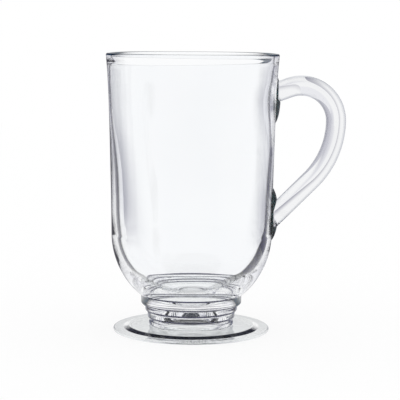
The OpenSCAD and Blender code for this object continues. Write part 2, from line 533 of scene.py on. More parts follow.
@dataclass(frozen=True)
class GlassFinish:
    """One clear glass: its cast, the painted shade of its edges, its gloss and how uneven its surface is.

    The painted edge shade grows from edge_start to edge_end of Layer Weight's Facing, which is 0 where the
    surface faces the eye and 1 where it is seen edge on. Where edge_end is the lower of the two, the shade
    shows below them. In either case it shows only above clear_below.
    """

    name: str
    cast: Colour = (0.985, 0.99, 0.995)
    thick_cast: Colour = (0.965, 0.975, 0.985)
    painted_edge_shade: Colour = (0.03, 0.04, 0.08)
    edge_start: float = 0.88
    edge_end: float = 0.97
    clear_below: float = 0.0
    clear_softness: float = 0.03
    shade_side: ShadeSide = ShadeSide.BOTH
    line: CavityShadeLine | None = None
    roughness: float = 0.0
    ior: float = 1.5
    ripple_scale: float = 60.0
    ripple_stretch: float = 0.25
    ripple_depth: float = 0.02 * MM
    ripple_strength: float = 0.15

    def edge_share(self, tree: Tree, place: Socket) -> Socket:
        """Adds the nodes for the painted edge shade's share of the colour.

        Args:
            tree: the material's node tree.
            place: the piece's own coordinates.
        Returns:
            The share, from 0 to 1.
        """
        facing = add_node(tree, "LayerWeight", {}).outputs["Facing"]
        seen = add_step(tree, facing, self.clear_below - self.clear_softness, self.clear_below)
        if self.line is None:
            share = add_product(tree, add_step(tree, facing, self.edge_start, self.edge_end), seen)
        else:
            widening, stays = self.line.add(tree, place)
            start = add_math(tree, "SUBTRACT", self.edge_start, widening)
            end = add_math(tree, "SUBTRACT", self.edge_end, widening)
            share = add_product(tree, add_step(tree, facing, start, end), seen, stays)
        if self.shade_side is ShadeSide.BOTH:
            return share
        inside = add_node(tree, "NewGeometry", {}).outputs["Backfacing"]
        side = inside if self.shade_side is ShadeSide.GLASS else add_rest(tree, inside)
        return add_product(tree, share, side)

    def build(self) -> bpy.types.Material:
        """Makes the material: a transmitting Principled shader with a faint cast, a painted edge shade and a
        faint ripple.

        Returns:
            The material.
        """
        material, tree = new_material(self.name)
        place = add_node(tree, "TexCoord", {}).outputs["Object"]
        ripple = add_node(tree, "Group", {
            "Vector": place,
            "Scale": self.ripple_scale,
            "Stretch": self.ripple_stretch,
            "Thin Cast": self.cast,
            "Thick Cast": self.thick_cast,
        }, node_tree=glass_ripple_group())
        bump = add_node(tree, "Bump", {
            "Strength": self.ripple_strength,
            "Distance": self.ripple_depth,
            "Height": ripple.outputs["Height"],
        })
        share = self.edge_share(tree, place)
        shader = add_node(tree, "BsdfPrincipled", {
            "Base Color": add_mix(tree, share, ripple.outputs["Color"], self.painted_edge_shade),
            "Metallic": 0.0,
            "Roughness": self.roughness,
            "IOR": self.ior,
            "Transmission Weight": 1.0,
            "Normal": bump.outputs["Normal"],
        })
        add_node(tree, "OutputMaterial", {"Surface": shader.outputs["BSDF"]})
        return material


def fused_seam() -> bpy.types.Material:
    """Makes the material of faces where two pieces are fused: nothing is seen there, as in one glass.

    Returns:
        The material.
    """
    material, tree = new_material(SEAM_NAME)
    shader = add_node(tree, "BsdfPrincipled", {"Alpha": 0.0})
    add_node(tree, "OutputMaterial", {"Surface": shader.outputs["BSDF"]})
    return material


# Both lie under the least value of Layer Weight's Facing, so that the painted edge shade shows at every
# angle.
ALWAYS_START, ALWAYS_END = -1.0, -0.5

# The edge cast of each finish below is painted shade: a dark or grey line along the edges, by viewing angle,
# that stands in for dark surroundings bent and mirrored at the glass's edges.
BOWL_GLASS = GlassFinish("bowl_clear")
STEM_GLASS = GlassFinish(
    "stem_clear", cast=(0.98, 0.985, 0.99), thick_cast=(0.955, 0.965, 0.97),
    painted_edge_shade=(0.01, 0.012, 0.03), edge_start=0.45, edge_end=0.7, shade_side=ShadeSide.AIR)
# The foot's darker greenish cast is partly the thick glass's own tint and partly painted shade from the
# floor under the foot.
FOOT_GLASS = GlassFinish(
    "foot_clear", cast=(0.92, 0.94, 0.94), thick_cast=(0.87, 0.9, 0.9),
    painted_edge_shade=(0.08, 0.1, 0.12), edge_start=0.7, edge_end=0.9)
# The handle's grey-lilac edge cast is painted shade along its edges.
HANDLE_GLASS = GlassFinish(
    "handle_clear", cast=(0.93, 0.935, 0.94), thick_cast=(0.88, 0.885, 0.9),
    painted_edge_shade=(0.5, 0.52, 0.57), edge_start=0.3, edge_end=0.7, shade_side=ShadeSide.AIR, ripple_stretch=1.0)
# The pads are painted shade: dark glass with a near-black edge cast at every angle, standing in for the dark
# joints between handle and bowl.
PAD_SHADE_GLASS = GlassFinish(
    "pad_shade", cast=(0.7, 0.75, 0.76), thick_cast=(0.5, 0.55, 0.56),
    painted_edge_shade=(0.0002, 0.001, 0.0012), edge_start=ALWAYS_START, edge_end=ALWAYS_END, shade_side=ShadeSide.AIR,
    ripple_stretch=1.0, ripple_scale=200.0)
# The cavity's edge cast is a painted shade line along the inner face, seen from within the glass.
INNER_GLASS = GlassFinish(
    "cavity_shade_line", painted_edge_shade=(0.0, 0.0, 0.001), edge_start=0.236, edge_end=0.246,
    line=CavityShadeLine(), shade_side=ShadeSide.GLASS)
# Painted shade on the foot's step and the stem's waist: a near-black edge cast that stands in for the dark
# line these steps show.
SHADED_STEP_GLASS = GlassFinish(
    "shaded_step_glass", cast=(0.96, 0.975, 0.97), thick_cast=(0.93, 0.95, 0.945),
    painted_edge_shade=(0.0005, 0.0006, 0.001), edge_start=0.84, edge_end=0.7, clear_below=0.35)
# Painted shade: a dark line along the lip and the base ring's outer side.
LIP_SHADE_GLASS = GlassFinish(
    "lip_shade_line", painted_edge_shade=(0.0, 0.001, 0.004), edge_start=0.4, edge_end=0.6, shade_side=ShadeSide.AIR)
# Painted shade in the creases: darker glass and a near-black edge cast at every angle.
CREASE_SHADE_GLASS = GlassFinish(
    "crease_shade", cast=(0.5, 0.55, 0.6), thick_cast=(0.4, 0.45, 0.5),
    painted_edge_shade=(0.008, 0.008, 0.02), edge_start=ALWAYS_START, edge_end=ALWAYS_END)
SHARED_GLASS = {
    Face.SHADED_STEP: SHADED_STEP_GLASS,
    Face.INNER: INNER_GLASS,
    Face.CREASE: CREASE_SHADE_GLASS,
    Face.LIP: LIP_SHADE_GLASS,
}


def face_material(face: Face, finish: GlassFinish) -> bpy.types.Material:
    """The material for one kind of face, built once.

    Args:
        face: the kind of face.
        finish: the piece's own glass.
    Returns:
        The material.
    """
    if face is Face.FUSED:
        return bpy.data.materials.get(SEAM_NAME) or fused_seam()
    glass = SHARED_GLASS.get(face, finish)
    return bpy.data.materials.get(glass.name) or glass.build()


def dress(piece: bpy.types.Object, finish: GlassFinish, slot: Slot, *nodes: str) -> None:
    """Gives a glass piece its finish and its place in the frame.

    Args:
        piece: the object.
        finish: the glass it is made of.
        slot: the record's material slot.
        nodes: the CAD nodes that it stands for.
    """
    for face in Face:
        piece.data.materials.append(face_material(face, finish))
    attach(piece, BODY)
    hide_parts(*nodes)
    log.info("%s: %d points, %s", piece.name, len(piece.data.vertices), slot.value)


@dataclass(frozen=True)
class Fineness:
    """How many points the circles and the outlines' stretches of the round pieces have.

    Some stretches end in a crease, whose glass of its own carries painted shade: the last ball_crease points
    of the ball, and what follows the first base_plain points of the base ring and the first ring_plain of a
    stem ring.
    """

    around: int = 256
    cavity: int = 90
    side: int = 90
    lip: int = 24
    ball: int = 70
    ball_crease: int = 3
    base_plain: int = 4
    ring_top: int = 10
    ring_low: int = 14
    ring_plain: int = 12
    dome: int = 50
    foot_dome: int = 24
    foot_edge: int = 24
    foot_slope: int = 60
    foot_fillet: int = 12


@dataclass
class Vessel:
    """The bowl, the stem and the foot: everything that is round about the Z axis."""

    height: float = 140.0 * MM
    bowl_radius: float = 40.5 * MM
    taper: float = 2.1 * MM
    flare: float = 0.8 * MM
    taper_power: float = 1.3
    flare_power: float = 8.0
    lip_wall: float = 2.2 * MM
    shoulder_wall: float = 3.8 * MM
    wall_power: float = 2.5
    floor_wall: float = 2.2 * MM
    boss_radius: float = 25.4 * MM
    boss_height: float = 4.7 * MM
    upper_ring_radius: float = 23.4 * MM
    upper_ring_height: float = 3.5 * MM
    lower_ring_radius: float = 22.2 * MM
    lower_ring_height: float = 3.4 * MM
    waist_radius: float = 20.2 * MM
    waist_height: float = 1.3 * MM
    collar_radius: float = 21.4 * MM
    collar_height: float = 2.0 * MM
    ring_top_round: float = 0.6 * MM
    ring_low_round: float = 1.3 * MM
    foot_radius: float = 39.5 * MM
    foot_edge: float = 1.6 * MM
    seat_height: float = 3.0 * MM
    seat_round: float = 0.4 * MM
    hollow_radius: float = 14.0 * MM
    hollow_height: float = 12.6 * MM
    rest_width: float = 8.0 * MM
    relief: float = 0.5 * MM
    kick_width: float = 0.6 * MM
    rim_width: float = 5.0 * MM
    bevel_width: float = 3.0 * MM
    slope_ease: float = 0.1
    uneven_radius: float = 32.4 * MM
    even_lip: float = 4.0 * MM
    fine: Fineness = Fineness()

    # Height, left wall and right wall in millimetres, read from the bent lines of the photographed cavity.
    walls: tuple[tuple[float, float, float], ...] = (
        (18.0, 4.8, 4.8),
        (34.0, 4.0, 3.4),
        (45.0, 3.0, 2.4),
        (54.0, 2.4, 1.9),
        (68.0, 2.1, 1.5),
        (78.0, 1.9, 1.2),
        (93.0, 1.4, 1.2),
        (104.0, 1.0, 2.0),
        (113.0, 0.8, 2.6),
        (128.0, 0.8, 2.0),
        (136.0, 1.3, 1.8),
        (140.0, 2.2, 2.2),
    )

    @property
    def stem_top(self) -> float:
        """Height of the joint between stem and bowl."""
        rings = self.lower_ring_height + self.upper_ring_height
        return self.seat_height + self.collar_height + self.waist_height + rings

    @property
    def shoulder(self) -> float:
        """Height where the bowl's round bottom meets its side."""
        rise = math.sqrt(self.bowl_radius ** 2 - self.boss_radius ** 2)
        return self.stem_top + self.boss_height + rise

    @property
    def lip_centre(self) -> float:
        """Height of the centre of the lip's rounding."""
        return self.height - self.lip_wall / 2

    @property
    def hollow_sphere(self) -> float:
        """Radius of the ball that the hollow under the foot is cut with."""
        return (self.hollow_radius ** 2 + self.hollow_height ** 2) / (2 * self.hollow_height)

    def side_share(self, z: np.ndarray) -> np.ndarray:
        """How far up the side a height is, from 0 at the shoulder to 1 at the lip."""
        return np.clip((z - self.shoulder) / (self.lip_centre - self.shoulder), 0.0, 1.0)

    def outer_radius(self, z: np.ndarray | float) -> np.ndarray:
        """Radius of the outside: a ball below the shoulder, above it R + taper * t^p + flare * t^q.

        Args:
            z: heights.
        Returns:
            The radius at each height.
        """
        z = np.asarray(z, dtype=float)
        share = self.side_share(z)
        side = self.bowl_radius + self.taper * share ** self.taper_power
        side = side + self.flare * share ** self.flare_power
        drop = np.clip(self.shoulder - z, 0.0, self.bowl_radius)
        return np.where(z < self.shoulder, np.sqrt(self.bowl_radius ** 2 - drop ** 2), side)

    def wall(self, z: np.ndarray) -> np.ndarray:
        """Thickness of the side at each height, growing down towards the shoulder."""
        grow = (1.0 - self.side_share(z)) ** self.wall_power
        return self.lip_wall + (self.shoulder_wall - self.lip_wall) * grow

    def unevenness(self, inside: np.ndarray) -> np.ndarray:
        """How far the pressed inner face strays from its even shape, for each ring and column.

        The side is d(z) - e(z) cos u thick, where d is the mean of the left and the right wall and e is half
        their difference. Below the shoulder the mean's departure stays what it is there. The whole fades
        out at the lip and at the middle of the floor.

        Args:
            inside: radius and height of the inner face's rings.
        Returns:
            The extra radius of each point.
        """
        radius, height = inside[:, 0], inside[:, 1]
        places, left_walls, right_walls = np.array(self.walls).T * MM
        left = smooth_curve(height, places, left_walls)
        right = smooth_curve(height, places, right_walls)
        at_shoulder = np.interp(self.shoulder, places, (left_walls + right_walls) / 2)
        above = height > self.shoulder
        mean = np.where(above, self.wall(height) - (left + right) / 2, self.shoulder_wall - at_shoulder)
        fade = np.clip(radius / self.uneven_radius, 0.0, 1.0) ** 2
        fade = fade * np.clip((self.lip_centre - height) / self.even_lip, 0.0, 1.0)
        skew = (left - right) / 2
        return (fade * mean)[:, None] + (fade * skew)[:, None] * np.cos(circle_angles(self.fine.around))

    def build_bowl(self) -> bpy.types.Object:
        """Builds the bowl: cavity ellipse, inner side, rounded lip, outer side, ball, base ring.

        The cavity's floor is r = a sin t, z = s - b cos t, with the shoulder's height s.

        Returns:
            The dressed bowl.
        """
        fine = self.fine
        floor = self.stem_top + self.floor_wall
        angle = np.radians(np.linspace(0.0, QUARTER_TURN, fine.cavity))
        cavity = np.stack([
            (self.bowl_radius - self.shoulder_wall) * np.sin(angle),
            self.shoulder - (self.shoulder - floor) * np.cos(angle),
        ], axis=1)
        rise = np.linspace(self.shoulder, self.lip_centre, fine.side)
        inner = np.stack([self.outer_radius(rise) - self.wall(rise), rise], axis=1)
        lip_radius = float(self.outer_radius(self.lip_centre)) - self.lip_wall / 2
        lip = arc((lip_radius, self.lip_centre), self.lip_wall / 2, HALF_TURN, 0.0, fine.lip)
        outer = np.stack([self.outer_radius(rise), rise], axis=1)[::-1]
        ball_end = -math.degrees(math.acos(self.boss_radius / self.bowl_radius))
        ball = arc((0.0, self.shoulder), self.bowl_radius, 0.0, ball_end, fine.ball)
        low_round = self.ring_low_round
        ring_centre = (self.boss_radius - low_round, self.stem_top + low_round)
        ring = arc(ring_centre, low_round, 0.0, -QUARTER_TURN, fine.ring_low)
        # The cavity's faces carry the painted shade line.
        line = ProfileLine().add(cavity, Face.INNER).add(inner[1:], Face.INNER)
        inside = np.concatenate(line.points)[1:]
        # The lip and the base ring's outer side get a painted dark line.
        line.add(lip[1:], Face.LIP).add(outer[1:])
        # The ball's end and the rest of the base ring get the crease's painted shade.
        line.add(ball[1:-fine.ball_crease]).add(ball[-fine.ball_crease:], Face.CREASE)
        line.add(ring[:fine.base_plain], Face.LIP).add(ring[fine.base_plain:], Face.CREASE)
        line.add((self.upper_ring_radius - self.ring_top_round, self.stem_top))
        line.add((0.0, self.stem_top), Face.FUSED)
        wave = np.zeros((line.count - 2, fine.around))
        wave[:len(inside)] = self.unevenness(inside)
        bowl = line.turned(fine.around, wave).to_object("glass_bowl")
        dress(bowl, BOWL_GLASS, Slot.BOWL, "bowl")
        return bowl

    def ring_edge(self, radius: float, low: float, height: float, low_round: float) -> np.ndarray:
        """Outline of one ring of the stem from its upper edge down to its lower edge.

        Args:
            radius: the ring's outer radius.
            low: height of the ring's lower face.
            height: the ring's height.
            low_round: radius of the lower edge's rounding.
        Returns:
            Points from the inner end of the upper edge, round the ring, to the lower edge.
        """
        top_round = self.ring_top_round
        top_centre = (radius - top_round, low + height - top_round)
        top = arc(top_centre, top_round, QUARTER_TURN, 0.0, self.fine.ring_top)
        low_centre = (radius - low_round, low + low_round)
        return np.concatenate([top, arc(low_centre, low_round, 0.0, -QUARTER_TURN, self.fine.ring_low)])

    def hollow(self, low: float, high: float, count: int) -> np.ndarray:
        """Outline of the domed hollow between two heights, on a ball of radius B: r = sqrt(B^2 - (z - c)^2).

        Args:
            low: the lower height.
            high: the upper height, at most the hollow's top.
            count: how many points to make.
        Returns:
            Points from the low, wide end to the high end.
        """
        centre = self.hollow_height - self.hollow_sphere
        start = math.asin((low - centre) / self.hollow_sphere)
        end = math.asin(min((high - centre) / self.hollow_sphere, 1.0))
        return arc((0.0, centre), self.hollow_sphere, math.degrees(start), math.degrees(end), count)

    def build_stem(self) -> bpy.types.Object:
        """Builds the stem: a stack of rounded rings over a domed hollow.

        Returns:
            The dressed stem.
        """
        plain = self.fine.ring_plain
        waist = self.seat_height + self.collar_height
        lower_low = waist + self.waist_height
        upper_low = lower_low + self.lower_ring_height
        low_round = self.ring_low_round
        upper = self.ring_edge(self.upper_ring_radius, upper_low, self.upper_ring_height, low_round)
        lower = self.ring_edge(self.lower_ring_radius, lower_low, self.lower_ring_height, low_round)
        collar = self.ring_edge(
            self.collar_radius, self.seat_height, self.collar_height, self.ring_top_round)
        dome = self.hollow(self.seat_height, self.hollow_height, self.fine.dome)
        line = ProfileLine().add((0.0, self.stem_top))
        # The rings' creases get painted shade.
        line.add(upper[0], Face.FUSED).add(upper[1:plain]).add(upper[plain:], Face.CREASE)
        line.add(lower[:plain]).add(lower[plain:], Face.CREASE)
        # The waist under the lower ring gets painted shade.
        line.add((self.waist_radius, lower_low), Face.SHADED_STEP).add((self.waist_radius, waist))
        line.add(collar).add(dome[0], Face.FUSED).add(dome[1:])
        stem = line.turned(self.fine.around).to_object("glass_stem")
        dress(stem, STEM_GLASS, Slot.BASE, "stem")
        return stem

    def build_foot(self) -> bpy.types.Object:
        """Builds the foot: a thin disc with a fillet under the stem, a rounded edge and a lifted underside.

        The step on top and the relief below are slopes that ease in and out: their height is the running
        sum of a steepness that grows from 0 to 1 over the first tenth of the way and falls over the last.

        Returns:
            The dressed foot.
        """
        fine = self.fine
        edge_round = self.foot_edge / 2
        rest_inner = self.foot_radius - edge_round - self.rest_width
        shelf = self.collar_radius - self.ring_top_round + self.seat_round
        shelf_height = self.seat_height - self.seat_round
        dome = self.hollow(0.0, self.seat_height, fine.foot_dome)
        hollow_edge = float(np.interp(self.relief, dome[:, 1], dome[:, 0]))
        hollow_wall = dome[dome[:, 1] > self.relief][::-1]
        share = np.linspace(0.0, 1.0, fine.foot_slope)
        steepness = np.minimum(np.minimum(share, 1.0 - share) / self.slope_ease, 1.0)
        ramp = np.cumsum(steepness) / steepness.sum()
        kick = np.stack([rest_inner - self.kick_width * (1.0 - share), self.relief * (1.0 - ramp)], axis=1)
        edge_centre = (self.foot_radius - edge_round, edge_round)
        bevel_radius = self.foot_radius - self.rim_width - self.bevel_width * share
        bevel = np.stack([bevel_radius, self.foot_edge + (shelf_height - self.foot_edge) * ramp], axis=1)
        line = ProfileLine().add(hollow_wall[0], Face.FUSED).add(hollow_wall[1:])
        line.add((hollow_edge, self.relief)).add(kick)
        line.add(arc(edge_centre, edge_round, -QUARTER_TURN, QUARTER_TURN, fine.foot_edge))
        # The step's bevel gets painted shade.
        line.add(bevel[0]).add(bevel[1:], Face.SHADED_STEP).add((shelf, shelf_height))
        fillet = arc((shelf, self.seat_height), self.seat_round, -QUARTER_TURN, -HALF_TURN, fine.foot_fillet)
        foot = line.add(fillet[1:]).turned_closed(fine.around).to_object("glass_foot")
        dress(foot, FOOT_GLASS, Slot.BASE, "foot")
        return foot


@dataclass(frozen=True)
class Pad:
    """One lump of glass between the bowl and an end of the handle.

    It has its name, the CAD node that it stands for, the height of its middle, how far it stands out from
    the wall, its own height, the middle of the handle's end as X and Z, the handle's slope there, and the
    height below which the handle is trimmed off.
    """

    name: str
    node: str
    middle_z: float
    out: float
    height: float
    end: np.ndarray
    slope: float
    trim: float = 0.0


@dataclass
class Handle:
    """The looped handle and the two pads that join it to the bowl."""

    vessel: Vessel
    thick: float = 10.0 * MM
    width: float = 12.0 * MM
    drop: float = 10.8 * MM
    finger_gap: float = 25.3 * MM
    loop: float = 17.6 * MM
    sweep: float = 42.5 * MM
    upper_slope: float = math.radians(20.0)
    lower_slope: float = math.radians(45.0)
    lower_trim: float = 2.2 * MM
    upper_pad_out: float = 2.0 * MM
    upper_pad_height: float = 23.5 * MM
    upper_pad_sag: float = 3.4 * MM
    upper_web: float = 0.5 * MM
    lower_pad_out: float = 3.0 * MM
    lower_pad_height: float = 26.8 * MM
    lower_pad_rise: float = 1.5 * MM
    lower_web: float = 0.5 * MM
    pad_margin: float = 0.2 * MM
    pad_sink: float = 2.0 * MM
    columns: int = 96
    long_bend_rings: int = 60
    tight_bend_rings: int = 90
    lower_run_rings: int = 40
    upper_run_rings: int = 16
    pad_columns: int = 192
    pad_rings: int = 90
    meeting_steps: int = 40

    @property
    def loop_centre(self) -> np.ndarray:
        """Centre of the tight bend, set by the drop from the lip and by the finger gap.

        Returns:
            X and Z.
        """
        z = self.vessel.height - self.drop - self.thick / 2 - self.loop
        x = float(self.vessel.outer_radius(z)) + self.finger_gap + self.thick / 2 - self.loop
        return np.array([x, z])

    @property
    def sweep_centre(self) -> np.ndarray:
        """Centre of the long bend, as X and Z."""
        return self.loop_centre + np.array([self.loop - self.sweep, 0.0])

    @property
    def upper_bend_end(self) -> np.ndarray:
        """Where the tight bend runs into the short straight stretch, as X and Z."""
        turn = np.array([-math.sin(self.upper_slope), math.cos(self.upper_slope)])
        return self.loop_centre + self.loop * turn

    @property
    def lower_bend_end(self) -> np.ndarray:
        """Where the long bend runs into the long straight stretch, as X and Z."""
        turn = np.array([math.cos(self.lower_slope), -math.sin(self.lower_slope)])
        return self.sweep_centre + self.sweep * turn

    @property
    def upper_seat(self) -> float:
        """X of the plane in which the handle's upper end sits."""
        return float(self.vessel.outer_radius(self.upper_bend_end[1])) + self.upper_web

    @property
    def lower_seat(self) -> float:
        """X of the plane in which the handle's lower end sits, just off the wall that its line runs into.

        Returns:
            X of the plane.
        """
        run = self.lower_bend_end[0] - self.vessel.bowl_radius
        guess = self.lower_bend_end[1] - run * math.tan(self.lower_slope)
        return float(self.vessel.outer_radius(guess)) + self.lower_web

    @property
    def upper_end(self) -> np.ndarray:
        """Middle of the handle's upper end, as X and Z."""
        run = self.upper_bend_end[0] - self.upper_seat
        return np.array([self.upper_seat, self.upper_bend_end[1] - run * math.tan(self.upper_slope)])

    @property
    def lower_end(self) -> np.ndarray:
        """Middle of the handle's lower end, as X and Z."""
        run = self.lower_bend_end[0] - self.lower_seat
        return np.array([self.lower_seat, self.lower_bend_end[1] - run * math.tan(self.lower_slope)])

    @property
    def trim_height(self) -> float:
        """Height at which the handle's lowest corner is trimmed off level."""
        return float(self.lower_end[1]) - self.thick / 2 / math.cos(self.lower_slope) + self.lower_trim

    def bend(self, centre: np.ndarray, radius: float, turn: np.ndarray) -> np.ndarray:
        """Rings on one bend: P = centre + (R + a cos f) (cos t, sin t) in the XZ plane, and y = b sin f.

        Args:
            centre: the bend's centre, as X and Z.
            radius: the radius R of its middle line.
            turn: the angle t of each ring.
        Returns:
            Rings by points by X, Y and Z.
        """
        around = circle_angles(self.columns)
        reach = radius + self.thick / 2 * np.cos(around)
        x = centre[0] + reach * np.cos(turn)[:, None]
        z = centre[1] + reach * np.sin(turn)[:, None]
        return np.stack([x, np.broadcast_to(self.width / 2 * np.sin(around), x.shape), z], axis=-1)

    @staticmethod
    def straight(ring: np.ndarray, slope: float, seat: float, trim: float, count: int) -> np.ndarray:
        """Rings from a bend's end down a slope towards the bowl, each point moving in a line.

        Args:
            ring: the bend's end ring.
            slope: the stretch's slope.
            seat: X of the upright plane at which the points stop.
            trim: height of the level plane at which they stop if they meet it first.
            count: how many rings to make.
        Returns:
            Rings by points by X, Y and Z.
        """
        direction = -np.array([math.cos(slope), 0.0, math.sin(slope)])
        reach = np.minimum((seat - ring[:, 0]) / direction[0], (trim - ring[:, 2]) / direction[2])
        move = np.linspace(0.0, 1.0, count)[:, None] * reach
        return ring + move[..., None] * direction

    def build_handle(self) -> bpy.types.Object:
        """Builds the handle as one closed tube of oval section, from its lower seat to its upper seat.

        Returns:
            The dressed handle.
        """
        long_turn = np.linspace(-self.lower_slope, 0.0, self.long_bend_rings)
        tight_turn = np.linspace(0.0, math.pi / 2 + self.upper_slope, self.tight_bend_rings)
        long_bend = self.bend(self.sweep_centre, self.sweep, long_turn)
        tight_bend = self.bend(self.loop_centre, self.loop, tight_turn)
        seat, trim = self.lower_seat + SEAM_GAP, self.trim_height + SEAM_GAP
        lower_run = self.straight(long_bend[0], self.lower_slope, seat, trim, self.lower_run_rings)
        seat = self.upper_seat + SEAM_GAP
        upper_run = self.straight(tight_bend[-1], self.upper_slope, seat, 0.0, self.upper_run_rings)
        rings = np.concatenate([lower_run[:0:-1], long_bend, tight_bend[1:], upper_run[1:]])
        ends = np.stack([rings[0].mean(axis=0), rings[-1].mean(axis=0)])
        handle = closed_skin(rings, ends).to_object("glass_handle")
        dress(handle, HANDLE_GLASS, Slot.HANDLE, "handle")
        return handle

    def pad_surface(self, pad: Pad) -> Surface:
        """A pad: its back lies on the bowl's wall, its front is a flattened ball with the handle's socket.

        In rings about the pad's middle, y = s k b cos f and z = c + s k h sin f, where k is the share of the
        ball's outline at which it meets the wall, found by halving. The front is
        x = m + d sqrt(1 - (y/b)^2 - (z/h)^2), or the handle's own surface where that is nearer, and the back
        is x = sqrt(R(z)^2 - y^2).

        Args:
            pad: the pad's sizes.
        Returns:
            The closed surface.
        """
        wall_x = float(self.vessel.outer_radius(pad.middle_z))
        middle_x, deep = wall_x - self.pad_sink, self.pad_sink + pad.out
        half_width = self.width / 2 + self.pad_margin
        half_height = pad.height / 2 / math.sqrt(1.0 - (self.pad_sink / deep) ** 2)
        around = circle_angles(self.pad_columns)

        def place(share: np.ndarray) -> tuple[np.ndarray, np.ndarray]:
            """Y and Z at a share of the ball's outline in each direction."""
            return share * half_width * np.cos(around), pad.middle_z + share * half_height * np.sin(around)

        def front(share: np.ndarray) -> np.ndarray:
            """X of the ball's front at a share of its outline."""
            return middle_x + deep * np.sqrt(np.clip(1.0 - share ** 2, 0.0, 1.0))

        def back(share: np.ndarray) -> np.ndarray:
            """X of the wall at a share of the ball's outline."""
            y, z = place(share)
            return np.sqrt(self.vessel.outer_radius(z) ** 2 - y ** 2)

        low, high = np.zeros(self.pad_columns), np.ones(self.pad_columns)
        for _ in range(self.meeting_steps):
            middle = (low + high) / 2
            outside = front(middle) > back(middle)
            low, high = np.where(outside, middle, low), np.where(outside, high, middle)
        share = np.linspace(0.0, 1.0, self.pad_rings)[1:, None] * low
        y, z = place(share)
        wall, ball = back(share) + SEAM_GAP, front(share)
        half_tube = self.thick / 2 * np.sqrt(np.clip(1.0 - (2 * y / self.width) ** 2, 0.0, 1.0))
        line_x = pad.end[0] + (z - pad.end[1]) / math.tan(pad.slope)
        spread = half_tube / math.sin(pad.slope)
        enter = np.maximum(pad.end[0], line_x - spread)
        inside = (half_tube > 0.0) & (line_x + spread > pad.end[0]) & (z > pad.trim)
        face = np.maximum(np.where(inside, np.minimum(ball, enter - SEAM_GAP), ball), wall)
        face[-1] = wall[-1]
        front_rings = np.stack([face, y, z], axis=-1)
        back_rings = np.stack([wall, y, z], axis=-1)[-2::-1]
        poles = np.array([[x, 0.0, pad.middle_z] for x in (pad.end[0] - SEAM_GAP, wall_x + SEAM_GAP)])
        return closed_skin(np.concatenate([front_rings, back_rings]), poles)

    def build_pads(self) -> list[bpy.types.Object]:
        """Builds the upper and the lower pad.

        Returns:
            The dressed pads.
        """
        upper = Pad(
            "upper_pad", "upper_handle_pad", self.upper_end[1] - self.upper_pad_sag, self.upper_pad_out,
            self.upper_pad_height, self.upper_end, self.upper_slope)
        lower = Pad(
            "lower_pad", "lower_handle_pad", self.lower_end[1] + self.lower_pad_rise, self.lower_pad_out,
            self.lower_pad_height, self.lower_end, self.lower_slope, self.trim_height)
        pieces = []
        for pad in (upper, lower):
            piece = self.pad_surface(pad).to_object(pad.name)
            # The pads' glass is painted shade.
            dress(piece, PAD_SHADE_GLASS, Slot.HANDLE, pad.node)
            pieces.append(piece)
        return pieces


